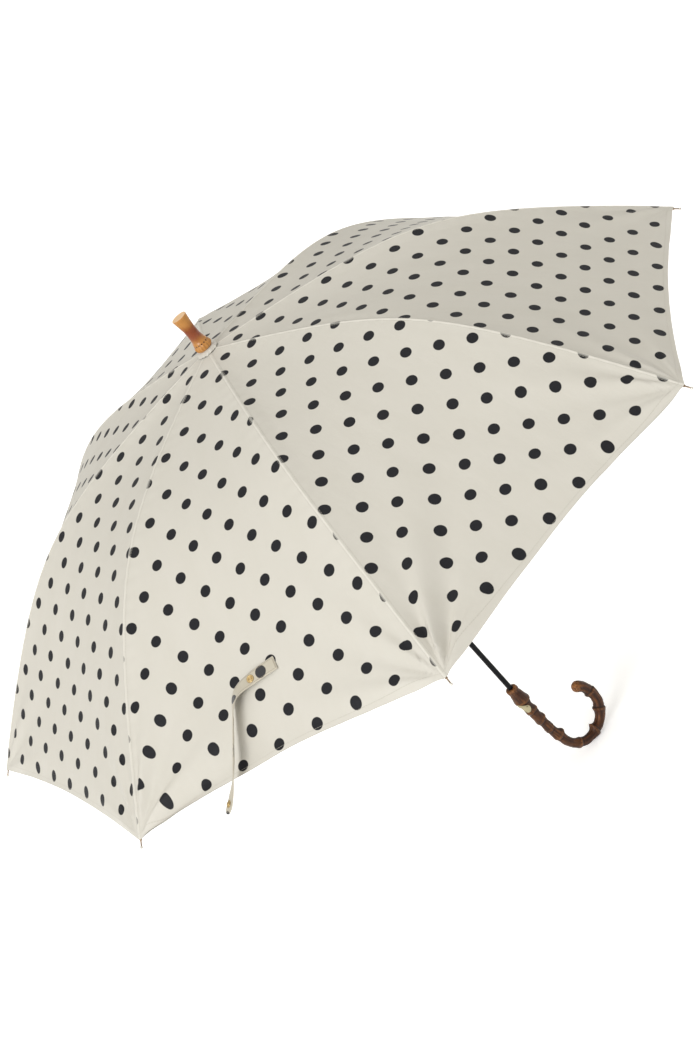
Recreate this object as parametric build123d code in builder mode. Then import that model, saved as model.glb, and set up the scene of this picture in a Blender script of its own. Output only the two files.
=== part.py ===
"""Stick umbrella with eight ribs, a fabric canopy, a bamboo crook handle and a bamboo ferrule.

Millimetres, +Z up the shaft, origin on the shaft's axis at the top rim of the handle,
+X towards the open side of the crook. The canopy is open, at its full spread.
"""

import os
from math import atan, atan2, cos, degrees, hypot, pi, radians, sin, sqrt, tan

from build123d import *

# Driving dimensions of the whole umbrella
RIB_COUNT = 8
FIRST_RIB_AZIMUTH = -22.5  # degrees; the crook points between two ribs
RIB_STEP = -360 / RIB_COUNT
SPREAD_RADIUS = 530  # shaft axis to the hem at a rib
APEX_Z = 611  # top of the fabric at the ferrule

# Fabric dome along a rib: nearly flat, then a soft bend, then a steady slope
DOME_SLOPE = 0.083
DOME_BEND = 0.438
BEND_AT = 0.581
BEND_WIDTH = 0.222
PANEL_SAG = 0.011  # sag of each panel between its ribs, over the spread radius
HEM_RISE = 0.017  # how far the hem curves in between two ribs
FABRIC_THICKNESS = 0.8
FABRIC_HOLE_RADIUS = 8
GORE_GAP_ANGLE = 0.03  # degrees left open between two gores

# Shaft, crown and runner
SHAFT_RADIUS = 3.5
SHAFT_BORE_RADIUS = 2.7
SHAFT_BOTTOM_Z = -55
SHAFT_TOP_Z = 650
HINGE_RADIUS = 10  # shaft axis to the rib and stretcher hinges
CROWN_Z = 597
FLANGE_RADIUS = 13.5
SLOT_WIDTH = 3.9
SLOT_INNER_RADIUS = 7.6
RING_WIRE_RADIUS = 0.7
RUNNING_CLEARANCE = 0.06
RING_CLEARANCE = 0.28  # the ring is curved where it passes through a rib's eye
RUNNER_SLEEVE_RADIUS = 7.4
RUNNER_SLEEVE_LENGTH = 45
KEYWAY_WIDTH = 3.4
KEYWAY_RADIUS = 6.4

# Ribs and stretchers, folded from strip steel into open channels
RIB_WIDTH = 3.2
RIB_DEPTH = 2.6
STRETCHER_WIDTH = 2.8
STRETCHER_DEPTH = 2.4
CHANNEL_WALL = 0.5
RIB_BELOW_FABRIC = 4  # fabric's top to the rib's centre line
EYE_RADIUS = 2
BRACKET_RADIUS = 266  # where the stretcher's bracket sits along the rib
BRACKET_DROP = 5  # rib's centre line to the stretcher's rivet
FLEX_RADIUS = 274  # where the outer rib's root starts
FLEX_GAP = 0.5
RIVET_RADIUS = 1
RIVET_LENGTH = 6.4
CHEEK_GAP = 3.9
CHEEK_THICKNESS = 0.7
CROSS_PIN_RADIUS = 0.9
CROSS_PIN_LENGTH = 5.8
TIP_RADIUS = 1.7
TIP_BALL_RADIUS = 2.1
TIP_LENGTH = 10

# Catches, sprung out through slots in the shaft's +Y side
CATCH_THICKNESS = 1.2
CATCH_SLOT_WIDTH = 1.8
CATCH_NOSE_RADIUS = 5.9
CATCH_LENGTH = 22
TOP_CATCH_Z = 443.5
BOTTOM_CATCH_Z = 52

# Handle and ferrule
STEM_RADIUS = 6.8
RIM_RADIUS = 7.4
ROOT_BULB_RADIUS = 9.7
KNUCKLE_RADIUS = 8.2
CROOK_RADIUS = 37.6
CROOK_CENTER = (43.4, -105.4)
CROOK_SWEEP = 238
FERRULE_TOP_Z = 662

os.makedirs("parts", exist_ok=True)


def dome_drop(radius):
    """Depth of the fabric below the apex at a rib, at this distance from the axis."""
    x = radius / SPREAD_RADIUS
    bend = x + hypot(x - BEND_AT, BEND_WIDTH) - hypot(BEND_AT, BEND_WIDTH)
    return SPREAD_RADIUS * (DOME_SLOPE * x + DOME_BEND * bend)


def dome_gradient(radius):
    """Fall of the fabric per unit of radius."""
    offset = radius / SPREAD_RADIUS - BEND_AT
    return DOME_SLOPE + DOME_BEND * (1 + offset / hypot(offset, BEND_WIDTH))


def under_fabric(radius, depth):
    """Point in a rib's plane, a depth below the fabric measured square to it."""
    gradient = dome_gradient(radius)
    scale = depth / sqrt(1 + gradient**2)
    return (radius - scale * gradient, APEX_Z - dome_drop(radius) - scale)


def radial_plane(azimuth):
    """Plane through the shaft's axis: local x is outwards and local y is up."""
    a = radians(azimuth)
    return Plane(origin=(0, 0, 0), x_dir=(cos(a), sin(a), 0), z_dir=(sin(a), -cos(a), 0))


def rib_azimuths():
    """Number and azimuth of each rib."""
    return [(n + 1, FIRST_RIB_AZIMUTH + n * RIB_STEP) for n in range(RIB_COUNT)]


def save(part, name):
    """Label a finished sub-part and write its STEP file."""
    part.part.label = name
    export_step(part.part, f"parts/{name}.step")


crown_hinge = (HINGE_RADIUS, CROWN_Z)
bracket_seat = under_fabric(BRACKET_RADIUS, RIB_BELOW_FABRIC)
bracket_rivet = under_fabric(BRACKET_RADIUS, RIB_BELOW_FABRIC + BRACKET_DROP)
flex_point = under_fabric(FLEX_RADIUS, RIB_BELOW_FABRIC)
rib_end = under_fabric(SPREAD_RADIUS, RIB_BELOW_FABRIC)
# Rib and stretcher are equally long, so the runner hinge mirrors the crown hinge
RUNNER_Z = 2 * bracket_rivet[1] - CROWN_Z
runner_hinge = (HINGE_RADIUS, RUNNER_Z)


# ---------------------------------------------------------------- shaft and its fittings

with BuildPart() as shaft:
    with BuildSketch(Plane.XY.offset(SHAFT_BOTTOM_Z)):
        Circle(SHAFT_RADIUS)
        Circle(SHAFT_BORE_RADIUS, mode=Mode.SUBTRACT)
    extrude(amount=SHAFT_TOP_Z - SHAFT_BOTTOM_Z)
    for catch_z in (TOP_CATCH_Z, BOTTOM_CATCH_Z):
        with BuildSketch(Plane.XZ.offset(-SHAFT_RADIUS - 1)):
            with Locations((0, catch_z + CATCH_LENGTH / 2)):
                SlotOverall(CATCH_LENGTH + 5, CATCH_SLOT_WIDTH, rotation=90)
        extrude(amount=SHAFT_RADIUS, mode=Mode.SUBTRACT)
save(shaft, "shaft")

with BuildPart() as crown:
    with BuildSketch(Plane.XZ):
        with BuildLine():
            Polyline(
                (SHAFT_RADIUS, CROWN_Z - 8),
                (6.2, CROWN_Z - 8),
                (6.2, CROWN_Z - 3),
                (FLANGE_RADIUS, CROWN_Z - 3),
                (FLANGE_RADIUS, CROWN_Z + 3),
                (6.2, CROWN_Z + 4.5),
                (6.2, CROWN_Z + 11),
                (SHAFT_RADIUS, CROWN_Z + 11),
                close=True,
            )
        make_face()
    revolve(axis=Axis.Z)
    with BuildSketch(Plane.XY.offset(CROWN_Z - 4)):
        with PolarLocations(0, RIB_COUNT, start_angle=FIRST_RIB_AZIMUTH):
            with Locations((SLOT_INNER_RADIUS + 4, 0)):
                Rectangle(8, SLOT_WIDTH)
    extrude(amount=9, mode=Mode.SUBTRACT)
    with BuildSketch(Plane.XZ):
        with Locations(crown_hinge):
            Circle(RING_WIRE_RADIUS + RUNNING_CLEARANCE)
    revolve(axis=Axis.Z, mode=Mode.SUBTRACT)
save(crown, "crown")

with BuildPart() as crown_ring:
    with BuildSketch(Plane.XZ):
        with Locations(crown_hinge):
            Circle(RING_WIRE_RADIUS)
    revolve(axis=Axis.Z)
save(crown_ring, "crown_ring")

with BuildPart() as canopy_rosette:
    with BuildSketch(Plane.XZ):
        with BuildLine():
            Polyline(
                (SHAFT_RADIUS + RUNNING_CLEARANCE, APEX_Z + 0.5),
                (8, APEX_Z + 0.5),
                (14.5, APEX_Z - 0.6),
                (14.5, APEX_Z + 0.4),
                (9, APEX_Z + 2),
                (SHAFT_RADIUS + RUNNING_CLEARANCE, APEX_Z + 2),
                close=True,
            )
        make_face()
    revolve(axis=Axis.Z)
save(canopy_rosette, "canopy_rosette")

with BuildPart() as ferrule:
    with BuildSketch(Plane.XZ):
        with BuildLine():
            side = Spline(
                (8, APEX_Z + 2),
                (10.6, APEX_Z + 8),
                (7.3, APEX_Z + 26),
                (10, FERRULE_TOP_Z),
            )
            Polyline(
                side @ 1,
                (0, FERRULE_TOP_Z),
                (0, SHAFT_TOP_Z),
                (SHAFT_RADIUS, SHAFT_TOP_Z),
                (SHAFT_RADIUS, APEX_Z + 2),
                side @ 0,
            )
        make_face()
    revolve(axis=Axis.Z)
save(ferrule, "ferrule")


# ---------------------------------------------------------------- handle

with BuildPart() as handle:
    with BuildLine(Plane.XZ) as crook_path:
        stem = Line((0, -8), (0, -48))
        neck = Spline(
            stem @ 1,
            (CROOK_CENTER[0] - CROOK_RADIUS, CROOK_CENTER[1]),
            tangents=[(0, -1), (0, -1)],
        )
        CenterArc(CROOK_CENTER, CROOK_RADIUS, 180, CROOK_SWEEP)
    with BuildSketch(Plane(origin=crook_path.line @ 0, z_dir=(0, 0, -1))):
        Circle(STEM_RADIUS)
    sweep()
    with Locations(crook_path.line @ 1):
        Sphere(STEM_RADIUS)
    with BuildSketch(Plane.XZ):
        with BuildLine():
            bulb = Spline((RIM_RADIUS, 0), (ROOT_BULB_RADIUS, -24), (STEM_RADIUS - 0.8, -54))
            Polyline(bulb @ 1, (0, -54), (0, 0), bulb @ 0)
        make_face()
    revolve(axis=Axis.Z)
    for knuckle in (0.22, 0.34, 0.46, 0.58, 0.69, 0.80, 0.90):
        with Locations(crook_path.line @ knuckle):
            Sphere(KNUCKLE_RADIUS)
    with BuildSketch(Plane.XY.offset(SHAFT_BOTTOM_Z)):
        Circle(SHAFT_RADIUS)
    extrude(amount=-SHAFT_BOTTOM_Z + 1, mode=Mode.SUBTRACT)
save(handle, "handle")

PLATE_AZIMUTH = -136.7
PLATE_Z = -31.5
PLATE_SEAT = 9.6
PLATE_TILT = radians(30)  # of the plate's long axis from the handle's
plate_turn = radians(PLATE_AZIMUTH)
plate_plane = Plane(
    origin=(PLATE_SEAT * cos(plate_turn), PLATE_SEAT * sin(plate_turn), PLATE_Z),
    x_dir=(-sin(plate_turn) * sin(PLATE_TILT), cos(plate_turn) * sin(PLATE_TILT), -cos(PLATE_TILT)),
    z_dir=(cos(plate_turn), sin(plate_turn), 0),
)

with BuildPart() as handle_plate:
    with BuildSketch(plate_plane):
        with Locations((4, 0)):
            Circle(5.6)
        with Locations((-9, 0)):
            Circle(0.6)
        make_hull()
    extrude(amount=1.2)
    with BuildSketch(plate_plane.offset(1.3)):
        with Locations((5, 0)):
            Circle(1)
    extrude(amount=0.6)
save(handle_plate, "handle_plate")


# ---------------------------------------------------------------- runner and catches

with BuildPart() as runner:
    with BuildSketch(Plane.XY.offset(RUNNER_Z - RUNNER_SLEEVE_LENGTH)):
        Circle(RUNNER_SLEEVE_RADIUS)
    extrude(amount=RUNNER_SLEEVE_LENGTH + 6)
    with BuildSketch(Plane.XY.offset(RUNNER_Z - 2)):
        Circle(FLANGE_RADIUS)
    extrude(amount=5)
    with BuildSketch(Plane.XY.offset(RUNNER_Z - 3)):
        with PolarLocations(0, RIB_COUNT, start_angle=FIRST_RIB_AZIMUTH):
            with Locations((SLOT_INNER_RADIUS + 4, 0)):
                Rectangle(8, SLOT_WIDTH)
    extrude(amount=7, mode=Mode.SUBTRACT)
    with BuildSketch(Plane.XY.offset(RUNNER_Z - 2)):
        Circle(HINGE_RADIUS + 1.8)
        Circle(HINGE_RADIUS - 1.3, mode=Mode.SUBTRACT)
    extrude(amount=2 + CROSS_PIN_RADIUS + 0.3, mode=Mode.SUBTRACT)
    with BuildSketch(Plane.XY.offset(RUNNER_Z - RUNNER_SLEEVE_LENGTH)):
        Circle(SHAFT_RADIUS + RUNNING_CLEARANCE)
        with Locations((0, KEYWAY_RADIUS / 2)):
            Rectangle(KEYWAY_WIDTH, KEYWAY_RADIUS)
    extrude(amount=RUNNER_SLEEVE_LENGTH + 6, mode=Mode.SUBTRACT)
    with BuildSketch(Plane.XZ):
        for groove in range(5):
            with Locations((RUNNER_SLEEVE_RADIUS, RUNNER_Z - 14 - 6 * groove)):
                Circle(0.7)
    revolve(axis=Axis.Z, mode=Mode.SUBTRACT)
save(runner, "runner")


def build_catch(low_z, nose_up):
    """Flat spring inside the tube, with a nose that is square on one side."""
    square = low_z + CATCH_LENGTH if nose_up else low_z
    slope = low_z if nose_up else low_z + CATCH_LENGTH
    flat = square - 5 if nose_up else square + 5
    with BuildPart() as catch:
        with BuildSketch(Plane.YZ):
            with BuildLine():
                Polyline(
                    (0.6, slope),
                    (2.2, slope),
                    (CATCH_NOSE_RADIUS, flat),
                    (CATCH_NOSE_RADIUS, square),
                    (0.6, square),
                    close=True,
                )
            make_face()
        extrude(amount=CATCH_THICKNESS / 2, both=True)
    return catch


save(build_catch(TOP_CATCH_Z, True), "top_catch")
save(build_catch(BOTTOM_CATCH_Z, False), "bottom_catch")


# ---------------------------------------------------------------- ribs and stretchers


def channel_path(plane, points):
    """Centre line of a channel, in a radial plane."""
    with BuildLine(plane) as path:
        if len(points) == 2:
            Line(*points)
        else:
            Spline(*points)
    return path.line


def channel_section(plane, path, width, depth):
    """Open channel section at the start of its path, open side down."""
    section_plane = Plane(origin=path @ 0, x_dir=plane.z_dir, z_dir=path % 0)
    up = 1 if section_plane.y_dir.Z > 0 else -1
    with BuildSketch(section_plane) as section:
        Rectangle(width, depth)
        with Locations((0, -up * CHANNEL_WALL)):
            Rectangle(width - 2 * CHANNEL_WALL, depth, mode=Mode.SUBTRACT)
    return section.sketch


def along(start, end, distance):
    """Point a distance from start towards end."""
    share = distance / hypot(end[0] - start[0], end[1] - start[1])
    return (start[0] + share * (end[0] - start[0]), start[1] + share * (end[1] - start[1]))


def eye_outline(plane, centre, towards, radius, depth):
    """Side view of a channel's flattened end, round about a hinge point."""
    tilt = degrees(atan2(towards[1] - centre[1], towards[0] - centre[0]))
    with BuildSketch(plane) as outline:
        with Locations(centre):
            Circle(radius)
        with Locations(along(centre, towards, 3)):
            Rectangle(6, depth, rotation=tilt)
    return outline.sketch


def round_outline(plane, centre, radius):
    """Circle in a radial plane, for a hole or a pin square to it."""
    with BuildSketch(plane) as outline:
        with Locations(centre):
            Circle(radius)
    return outline.sketch


def build_rib(azimuth):
    """Inner half of a rib, from the crown's ring to the stretcher's bracket."""
    plane = radial_plane(azimuth)
    knots = [under_fabric(radius, RIB_BELOW_FABRIC) for radius in (90, 150, 210)]
    end = along(flex_point, bracket_seat, RIB_DEPTH / 2 + FLEX_GAP)
    start = along(crown_hinge, knots[0], 4)
    path = channel_path(plane, [start, *knots, end])
    eye = eye_outline(plane, crown_hinge, knots[0], EYE_RADIUS, RIB_DEPTH)
    hole = round_outline(plane, crown_hinge, RING_WIRE_RADIUS + RING_CLEARANCE)
    with BuildPart() as rib:
        extrude(eye, amount=RIB_WIDTH / 2, both=True)
        sweep(channel_section(plane, path, RIB_WIDTH, RIB_DEPTH), path=path)
        extrude(hole, amount=RIB_WIDTH, both=True, mode=Mode.SUBTRACT)
    return rib


def build_rib_outer(azimuth):
    """Outer half of a rib, from the bracket to the tip."""
    plane = radial_plane(azimuth)
    knots = [under_fabric(radius, RIB_BELOW_FABRIC) for radius in (300, 350, 400, 460)]
    path = channel_path(plane, [along(flex_point, knots[0], 4), *knots, rib_end])
    root = eye_outline(plane, flex_point, knots[0], RIB_DEPTH / 2, RIB_DEPTH)
    with BuildPart() as rib_outer:
        extrude(root, amount=RIB_WIDTH / 2, both=True)
        sweep(channel_section(plane, path, RIB_WIDTH, RIB_DEPTH), path=path)
    return rib_outer


def build_bracket(azimuth):
    """Clip on the rib: two cheeks, a web under the rib and the stretcher's rivet."""
    plane = radial_plane(azimuth)
    low_seat = under_fabric(BRACKET_RADIUS - 5, RIB_BELOW_FABRIC + 1.2)
    low_flex = under_fabric(FLEX_RADIUS + 1, RIB_BELOW_FABRIC + 1.2)
    web = under_fabric(BRACKET_RADIUS + 1, RIB_BELOW_FABRIC + RIB_DEPTH / 2 + 0.6)
    tilt = -degrees(atan(dome_gradient(BRACKET_RADIUS)))
    with BuildPart() as bracket:
        for side in (-1, 1):
            with BuildSketch(plane.offset(side * CHEEK_GAP / 2)):
                with Locations(low_seat, low_flex):
                    Circle(1.8)
                with Locations(bracket_rivet):
                    Circle(2.2)
                make_hull()
            extrude(amount=side * CHEEK_THICKNESS)
        with BuildSketch(plane):
            with Locations(web):
                Rectangle(12, 0.8, rotation=tilt)
        extrude(amount=CHEEK_GAP / 2 + 0.1, both=True)
        with BuildSketch(plane):
            with Locations(bracket_rivet):
                Circle(RIVET_RADIUS)
        extrude(amount=RIVET_LENGTH / 2, both=True)
    return bracket


def build_tip(azimuth):
    """Metal tip with a ball end, pushed on the end of a rib."""
    plane = radial_plane(azimuth)
    gradient = dome_gradient(SPREAD_RADIUS)
    outwards = plane.x_dir * 1 - plane.y_dir * gradient
    start = plane.from_local_coords((rib_end[0], rib_end[1], 0))
    with BuildPart() as tip:
        with BuildSketch(Plane(origin=start, z_dir=outwards)):
            Circle(TIP_RADIUS)
        extrude(amount=TIP_LENGTH)
        with Locations(start + outwards.normalized() * TIP_LENGTH):
            Sphere(TIP_BALL_RADIUS)
    return tip


def build_stretcher(azimuth):
    """Strut from the rib's bracket to the runner, with its cross pin."""
    plane = radial_plane(azimuth)
    outer_neck = along(bracket_rivet, runner_hinge, 4)
    inner_neck = along(runner_hinge, bracket_rivet, 4)
    path = channel_path(plane, [outer_neck, inner_neck])
    outer_eye = eye_outline(plane, bracket_rivet, runner_hinge, EYE_RADIUS, STRETCHER_DEPTH)
    inner_eye = eye_outline(plane, runner_hinge, bracket_rivet, EYE_RADIUS, STRETCHER_DEPTH)
    rivet_hole = round_outline(plane, bracket_rivet, RIVET_RADIUS + RUNNING_CLEARANCE)
    cross_pin = round_outline(plane, runner_hinge, CROSS_PIN_RADIUS)
    with BuildPart() as stretcher:
        extrude(outer_eye, amount=STRETCHER_WIDTH / 2, both=True)
        extrude(inner_eye, amount=STRETCHER_WIDTH / 2, both=True)
        sweep(channel_section(plane, path, STRETCHER_WIDTH, STRETCHER_DEPTH), path=path)
        extrude(rivet_hole, amount=STRETCHER_WIDTH, both=True, mode=Mode.SUBTRACT)
        extrude(cross_pin, amount=CROSS_PIN_LENGTH / 2, both=True)
    return stretcher


# ---------------------------------------------------------------- canopy


def gore_point(rib_radius, chord_share, depth):
    """Radius and height of the fabric between two ribs, a depth below its outer face.

    chord_share is 1 at the rib and 0 half-way to the next rib, along the straight
    line between equal radii on the two ribs.
    """
    half_step = radians(180 / RIB_COUNT)
    radius = rib_radius * cos(half_step) * hypot(1, chord_share * tan(half_step))
    slack = 1 - chord_share**2
    sag = PANEL_SAG * SPREAD_RADIUS * sin(pi * rib_radius / SPREAD_RADIUS) * slack
    gradient = dome_gradient(rib_radius)
    square = sqrt(1 + gradient**2)
    drop = dome_drop(rib_radius) + (sag + depth) * square
    return (radius, APEX_Z - drop)


def build_gore(azimuth):
    """Fabric from half-way before a rib to half-way after it, as a thin closed solid."""
    half_step = 180 / RIB_COUNT
    with BuildPart() as gore:
        for turn in (-1, -0.5, 0, 0.5, 1):
            offset = turn * (half_step - GORE_GAP_ANGLE)
            share = tan(radians(half_step - abs(offset))) / tan(radians(half_step))
            hem = SPREAD_RADIUS * (1 - HEM_RISE * (1 - share**2))
            stations = [FABRIC_HOLE_RADIUS + 2, 90, 170, 250, 330, 420, hem]
            outer = [gore_point(radius, share, 0) for radius in stations]
            inner = [gore_point(radius, share, FABRIC_THICKNESS) for radius in stations]
            with BuildSketch(radial_plane(azimuth + offset)):
                with BuildLine():
                    top = Spline(*outer)
                    bottom = Spline(*inner)
                    Line(top @ 0, bottom @ 0)
                    Line(top @ 1, bottom @ 1)
                make_face()
        loft(ruled=True)
    return gore


for number, azimuth in rib_azimuths():
    save(build_rib(azimuth), f"rib_{number}")
    save(build_rib_outer(azimuth), f"rib_outer_{number}")
    save(build_bracket(azimuth), f"rib_bracket_{number}")
    save(build_tip(azimuth), f"rib_tip_{number}")
    save(build_stretcher(azimuth), f"stretcher_{number}")
    save(build_gore(azimuth), f"canopy_gore_{number}")


# ---------------------------------------------------------------- tie strap

STRAP_WIDTH = 15
STRAP_THICKNESS = 1
# Centre of the strap and its width direction: flat on the fabric at the sewn end,
# then turned on edge where it hangs past the hem
flat_width = (-0.18, -0.82, -0.55)
edge_width = (-0.28, -0.87, 0.41)
strap_route = [
    ((-277.1, -315.5, 435.5), flat_width),
    ((-301.0, -296.5, 434.1), flat_width),
    ((-322.3, -287.6, 433.0), (-0.27, -0.96, -0.1)),
    ((-342.9, -293.1, 420.3), edge_width),
    ((-370.1, -301.3, 398.0), edge_width),
    ((-418.8, -316.9, 359.8), edge_width),
]

with BuildPart() as strap:
    for index, (centre, width_direction) in enumerate(strap_route):
        before = Vector(strap_route[max(index - 1, 0)][0])
        after = Vector(strap_route[min(index + 1, len(strap_route) - 1)][0])
        with BuildSketch(Plane(origin=centre, x_dir=width_direction, z_dir=after - before)):
            Rectangle(STRAP_WIDTH, STRAP_THICKNESS)
    loft(ruled=True)
save(strap, "strap")

SNAP_RADIUS = 4.5
SNAP_HEIGHT = 1.8
snap_face = Vector(-0.466, -0.466, 0.752)
stud_face = Vector(-0.61, 0.5, 0.61)

with BuildPart() as strap_snap:
    snap_seat = Vector(-301.0, -296.5, 434.1) + snap_face * (STRAP_THICKNESS / 2 + 0.6)
    with BuildSketch(Plane(origin=snap_seat, z_dir=snap_face)):
        Circle(SNAP_RADIUS)
    extrude(amount=SNAP_HEIGHT)
    stud_seat = Vector(-410.3, -314.2, 366.3) + stud_face * (STRAP_THICKNESS / 2 + 0.3)
    with BuildSketch(Plane(origin=stud_seat, z_dir=stud_face)):
        Circle(SNAP_RADIUS - 0.5)
    extrude(amount=SNAP_HEIGHT)
save(strap_snap, "strap_snap")
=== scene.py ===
"""Looks of the stick umbrella: dotted fabric canopy, bamboo-root crook handle, bamboo ferrule.

Metres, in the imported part's frame: +Z up the shaft, origin at the handle's top rim, +X towards the
open side of the crook. Ribs are numbered 1 to 8; panel k lies between rib k and rib k + 1.
"""

from math import atan2, ceil, cos, exp, hypot, pi, radians, sin, sqrt

import bmesh
import bpy
import numpy as np
from mathutils import Matrix, Vector, noise


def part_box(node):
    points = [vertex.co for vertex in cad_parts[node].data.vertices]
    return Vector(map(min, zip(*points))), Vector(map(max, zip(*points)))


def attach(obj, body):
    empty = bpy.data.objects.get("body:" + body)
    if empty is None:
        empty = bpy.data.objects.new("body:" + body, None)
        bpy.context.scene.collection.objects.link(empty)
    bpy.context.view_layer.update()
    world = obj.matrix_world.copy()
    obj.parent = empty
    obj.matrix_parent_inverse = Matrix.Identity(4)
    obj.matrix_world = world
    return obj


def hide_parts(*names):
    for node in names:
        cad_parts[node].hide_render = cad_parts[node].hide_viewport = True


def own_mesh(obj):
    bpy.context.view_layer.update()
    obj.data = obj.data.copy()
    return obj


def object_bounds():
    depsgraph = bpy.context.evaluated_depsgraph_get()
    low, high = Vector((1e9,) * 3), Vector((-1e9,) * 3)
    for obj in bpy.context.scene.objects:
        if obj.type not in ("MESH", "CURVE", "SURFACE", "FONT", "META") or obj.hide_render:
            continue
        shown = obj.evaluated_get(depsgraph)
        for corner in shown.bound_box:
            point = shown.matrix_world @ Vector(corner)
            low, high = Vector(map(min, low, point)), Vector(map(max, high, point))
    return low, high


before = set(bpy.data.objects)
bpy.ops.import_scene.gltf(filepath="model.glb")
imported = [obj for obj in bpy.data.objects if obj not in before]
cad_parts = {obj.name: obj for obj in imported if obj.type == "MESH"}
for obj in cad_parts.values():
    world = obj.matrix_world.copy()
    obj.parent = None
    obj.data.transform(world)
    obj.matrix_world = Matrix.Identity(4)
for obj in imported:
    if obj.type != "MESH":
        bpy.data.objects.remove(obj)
cad_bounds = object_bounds()

MM = 0.001
RIB_COUNT = 8
HALF_STEP = pi / RIB_COUNT
FIRST_RIB_AZIMUTH = radians(-22.5)
SPREAD = 0.530
APEX_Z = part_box("canopy_gore_1")[1][2] + 0.001


def rib_azimuth(k):
    """Azimuth of rib k; a larger number is further clockwise from above."""
    return FIRST_RIB_AZIMUTH - 2 * HALF_STEP * (k - 1)


def smooth(low, high, value):
    """0 below low, 1 above high, and a smooth ramp between."""
    t = min(max((value - low) / (high - low), 0), 1)
    return t * t * (3 - 2 * t)


# ---- node helpers


class Nodes:
    """Builds a material's node tree with short calls."""

    def __init__(self, name):
        self.material = bpy.data.materials.new(name)
        self.material.use_nodes = True
        self.tree = self.material.node_tree
        self.shader = self.tree.nodes["Principled BSDF"]

    def add(self, kind, **settings):
        node = self.tree.nodes.new(kind)
        for key, value in settings.items():
            setattr(node, key, value)
        return node

    def link(self, source, target):
        self.tree.links.new(source, target)

    def feed(self, socket, value):
        """Set a socket to a constant, or link it to another node's output."""
        if isinstance(value, bpy.types.NodeSocket):
            self.link(value, socket)
        else:
            socket.default_value = value

    def math(self, operation, a, b=0.0, c=0.0):
        node = self.add("ShaderNodeMath", operation=operation)
        for socket, value in zip(node.inputs, (a, b, c)):
            self.feed(socket, value)
        return node.outputs[0]

    def vector(self, operation, *inputs):
        node = self.add("ShaderNodeVectorMath", operation=operation)
        for socket, value in zip(node.inputs, inputs):
            self.feed(socket, value)
        return node.outputs["Value" if operation == "LENGTH" else "Vector"]

    def ramp(self, value, low, high, to_low=0.0, to_high=1.0):
        node = self.add("ShaderNodeMapRange", interpolation_type="SMOOTHSTEP")
        for socket, item in zip(node.inputs, (value, low, high, to_low, to_high)):
            self.feed(socket, item)
        return node.outputs[0]

    def mix(self, factor, a, b):
        node = self.add("ShaderNodeMix", data_type="RGBA")
        self.feed(node.inputs["Factor"], factor)
        self.feed(node.inputs["A"], a)
        self.feed(node.inputs["B"], b)
        return node.outputs["Result"]

    def uv(self, name):
        return self.add("ShaderNodeUVMap", uv_map=name).outputs[0]

    def position(self):
        return self.add("ShaderNodeTexCoord").outputs["Object"]

    def split(self, vector):
        node = self.add("ShaderNodeSeparateXYZ")
        self.link(vector, node.inputs[0])
        return node.outputs

    def noise(self, vector, scale, detail=3.0, roughness=0.5):
        node = self.add("ShaderNodeTexNoise")
        self.feed(node.inputs["Vector"], vector)
        node.inputs["Scale"].default_value = scale
        node.inputs["Detail"].default_value = detail
        node.inputs["Roughness"].default_value = roughness
        return node.outputs["Fac"]

    def stretch(self, vector, scale):
        return self.vector("MULTIPLY", vector, scale)

    def times(self, a, b):
        return self.math("MULTIPLY", a, b)

    def spread(self, value, amount, base):
        return self.math("MULTIPLY_ADD", value, amount, base)

    def bump(self, height, distance, strength=1.0, after=None):
        node = self.add("ShaderNodeBump")
        self.feed(node.inputs["Height"], height)
        node.inputs["Distance"].default_value = distance
        node.inputs["Strength"].default_value = strength
        if after is not None:
            self.link(after, node.inputs["Normal"])
        return node.outputs[0]

    def finish(self, color, roughness, normal, **constants):
        """Wire the shader's varying inputs, and set its constant ones directly."""
        self.feed(self.shader.inputs["Base Color"], color)
        self.feed(self.shader.inputs["Roughness"], roughness)
        self.link(normal, self.shader.inputs["Normal"])
        for name, value in constants.items():
            self.shader.inputs[name.replace("_", " ")].default_value = value
        return self.material


# ---- materials

CREAM = (0.600, 0.574, 0.512, 1)
CREAM_SHADE = (0.570, 0.544, 0.474, 1)
INK = (0.010, 0.010, 0.012, 1)
DOT_PITCH = (0.0503, 0.0554)  # between dots along a row, and along a column
DOT_RADIUS = 0.0066
DOT_START = 0.541  # from the apex to the dot in the middle of the lowest row
STITCH_LENGTH = 0.0032
SEAM_STITCH = 0.0026  # from the seam to its line of stitches
HEM_STITCH = 0.0058
STRAP_STITCH = 0.0018
THREADS_PER_METRE = 1300
SEAM_HIGHLIGHT = 0.45  # how much paler the cloth is painted along each seam: a painted highlight on the seam's crest


def dot_mask(n, cloth):
    """1 inside a printed dot: two square-on lattices, one in the middle of the other."""
    half = (DOT_PITCH[0] / 2, DOT_PITCH[1] / 2, 1)
    low = tuple(-value for value in half)
    nearest = None
    for shift in (0, 1):
        origin = (shift * half[0], DOT_START + shift * half[1], 0)
        local = n.vector("WRAP", n.vector("SUBTRACT", cloth, origin), half, low)
        distance = n.vector("LENGTH", n.vector("MULTIPLY", local, (1, 1, 0)))
        nearest = distance if nearest is None else n.math("MINIMUM", nearest, distance)
    ragged = n.spread(n.noise(cloth, 900), 0.0005, nearest)
    return n.ramp(ragged, DOT_RADIUS, DOT_RADIUS + 0.0006, 1.0, 0.0)


def stitch_mask(n, across, along, line):
    """1 on a dashed line of thread at a distance from an edge."""
    off = n.math("ABSOLUTE", n.math("SUBTRACT", across, line))
    dash = n.ramp(n.math("PINGPONG", along, STITCH_LENGTH / 2), 0.0002, 0.0005)
    return n.times(n.ramp(off, 0.0001, 0.0004, 1.0, 0.0), dash)


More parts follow.
